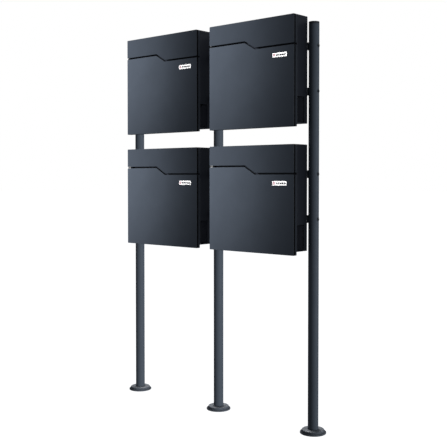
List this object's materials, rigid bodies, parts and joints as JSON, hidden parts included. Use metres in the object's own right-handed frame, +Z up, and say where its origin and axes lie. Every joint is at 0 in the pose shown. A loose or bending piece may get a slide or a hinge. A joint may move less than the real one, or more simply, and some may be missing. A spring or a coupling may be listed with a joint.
{
  "type": "cluster mailbox unit",
  "caption": "Free-standing cluster mailbox unit: flat sheet-steel letter boxes in two rows on round posts, each with a top flap, side-hung door and newspaper tube",
  "frame": {"origin": "on the floor at the middle of the middle post foot flange", "axes": "+X to the right seen from the front, +Y from the front to the back (doors face -Y), +Z up"},
  "size_m": [0.929, 0.1277, 1.375],
  "materials": {
    "case_powder": "anthracite powder coat, fine texture, satin",
    "front_powder": "anthracite powder coat, fine texture, satin",
    "post_powder": "anthracite powder coat on steel tube, satin",
    "foot_powder": "anthracite powder coat, satin",
    "bracket_powder": "dark powder coat, satin",
    "cap_plastic": "moulded black plastic, fine grain",
    "rod_steel": "drawn steel wire, satin",
    "lock_chrome": "polished chrome plate",
    "cam_zinc": "zinc-plated steel, satin",
    "name_plate": "white printed label under clear film"
  },
  "bodies": {
    "stand": {"upper_left_case": "case_powder", "upper_left_back_panel": "case_powder", "upper_left_divider": "case_powder", "upper_left_flap_rod": "rod_steel", "upper_left_door_rod": "rod_steel", "upper_left_lock_barrel": "lock_chrome", "upper_right_case": "case_powder", "upper_right_back_panel": "case_powder", "upper_right_divider": "case_powder", "upper_right_flap_rod": "rod_steel", "upper_right_door_rod": "rod_steel", "upper_right_lock_barrel": "lock_chrome", "lower_left_case": "case_powder", "lower_left_back_panel": "case_powder", "lower_left_divider": "case_powder", "lower_left_flap_rod": "rod_steel", "lower_left_door_rod": "rod_steel", "lower_left_lock_barrel": "lock_chrome", "lower_right_case": "case_powder", "lower_right_back_panel": "case_powder", "lower_right_divider": "case_powder", "lower_right_flap_rod": "rod_steel", "lower_right_door_rod": "rod_steel", "lower_right_lock_barrel": "lock_chrome", "left_post": "post_powder", "left_post_cap": "cap_plastic", "left_foot_flange": "foot_powder", "left_foot_rosette": "foot_powder", "middle_post": "post_powder", "middle_post_cap": "cap_plastic", "middle_foot_flange": "foot_powder", "middle_foot_rosette": "foot_powder", "right_post": "post_powder", "right_post_cap": "cap_plastic", "right_foot_flange": "foot_powder", "right_foot_rosette": "foot_powder", "upper_left_top_crossbar": "bracket_powder", "upper_left_bottom_crossbar": "bracket_powder", "upper_right_top_crossbar": "bracket_powder", "upper_right_bottom_crossbar": "bracket_powder", "lower_left_top_crossbar": "bracket_powder", "lower_left_bottom_crossbar": "bracket_powder", "lower_right_top_crossbar": "bracket_powder", "lower_right_bottom_crossbar": "bracket_powder"},
    "upper_left_flap_body": {"upper_left_flap": "front_powder"},
    "upper_left_door_body": {"upper_left_door": "front_powder", "upper_left_name_plate": "name_plate"},
    "upper_left_cam_body": {"upper_left_lock_cam": "cam_zinc"},
    "upper_right_flap_body": {"upper_right_flap": "front_powder"},
    "upper_right_door_body": {"upper_right_door": "front_powder", "upper_right_name_plate": "name_plate"},
    "upper_right_cam_body": {"upper_right_lock_cam": "cam_zinc"},
    "lower_left_flap_body": {"lower_left_flap": "front_powder"},
    "lower_left_door_body": {"lower_left_door": "front_powder", "lower_left_name_plate": "name_plate"},
    "lower_left_cam_body": {"lower_left_lock_cam": "cam_zinc"},
    "lower_right_flap_body": {"lower_right_flap": "front_powder"},
    "lower_right_door_body": {"lower_right_door": "front_powder", "lower_right_name_plate": "name_plate"},
    "lower_right_cam_body": {"lower_right_lock_cam": "cam_zinc"}
  },
  "joints": [
    {"name": "upper_left_flap_hinge", "type": "hinge", "parent": "stand", "child": "upper_left_flap_body", "pos_m": [-0.216, -0.069, 1.3717], "axis": [-1, 0, 0], "range_deg": [0, 85]},
    {"name": "upper_left_door_hinge", "type": "hinge", "parent": "stand", "child": "upper_left_door_body", "pos_m": [-0.3977, -0.069, 1.158], "axis": [0, 0, -1], "range_deg": [0, 90]},
    {"name": "upper_left_lock_turn", "type": "hinge", "parent": "stand", "child": "upper_left_cam_body", "pos_m": [-0.083, -0.059, 1.299], "axis": [0, -1, 0], "range_deg": [0, 90]},
    {"name": "upper_right_flap_hinge", "type": "hinge", "parent": "stand", "child": "upper_right_flap_body", "pos_m": [0.216, -0.069, 1.3717], "axis": [-1, 0, 0], "range_deg": [0, 85]},
    {"name": "upper_right_door_hinge", "type": "hinge", "parent": "stand", "child": "upper_right_door_body", "pos_m": [0.0343, -0.069, 1.158], "axis": [0, 0, -1], "range_deg": [0, 90]},
    {"name": "upper_right_lock_turn", "type": "hinge", "parent": "stand", "child": "upper_right_cam_body", "pos_m": [0.349, -0.059, 1.299], "axis": [0, -1, 0], "range_deg": [0, 90]},
    {"name": "lower_left_flap_hinge", "type": "hinge", "parent": "stand", "child": "lower_left_flap_body", "pos_m": [-0.216, -0.069, 0.9517], "axis": [-1, 0, 0], "range_deg": [0, 85]},
    {"name": "lower_left_door_hinge", "type": "hinge", "parent": "stand", "child": "lower_left_door_body", "pos_m": [-0.3977, -0.069, 0.738], "axis": [0, 0, -1], "range_deg": [0, 90]},
    {"name": "lower_left_lock_turn", "type": "hinge", "parent": "stand", "child": "lower_left_cam_body", "pos_m": [-0.083, -0.059, 0.879], "axis": [0, -1, 0], "range_deg": [0, 90]},
    {"name": "lower_right_flap_hinge", "type": "hinge", "parent": "stand", "child": "lower_right_flap_body", "pos_m": [0.216, -0.069, 0.9517], "axis": [-1, 0, 0], "range_deg": [0, 85]},
    {"name": "lower_right_door_hinge", "type": "hinge", "parent": "stand", "child": "lower_right_door_body", "pos_m": [0.0343, -0.069, 0.738], "axis": [0, 0, -1], "range_deg": [0, 90]},
    {"name": "lower_right_lock_turn", "type": "hinge", "parent": "stand", "child": "lower_right_cam_body", "pos_m": [0.349, -0.059, 0.879], "axis": [0, -1, 0], "range_deg": [0, 90]}
  ]
}
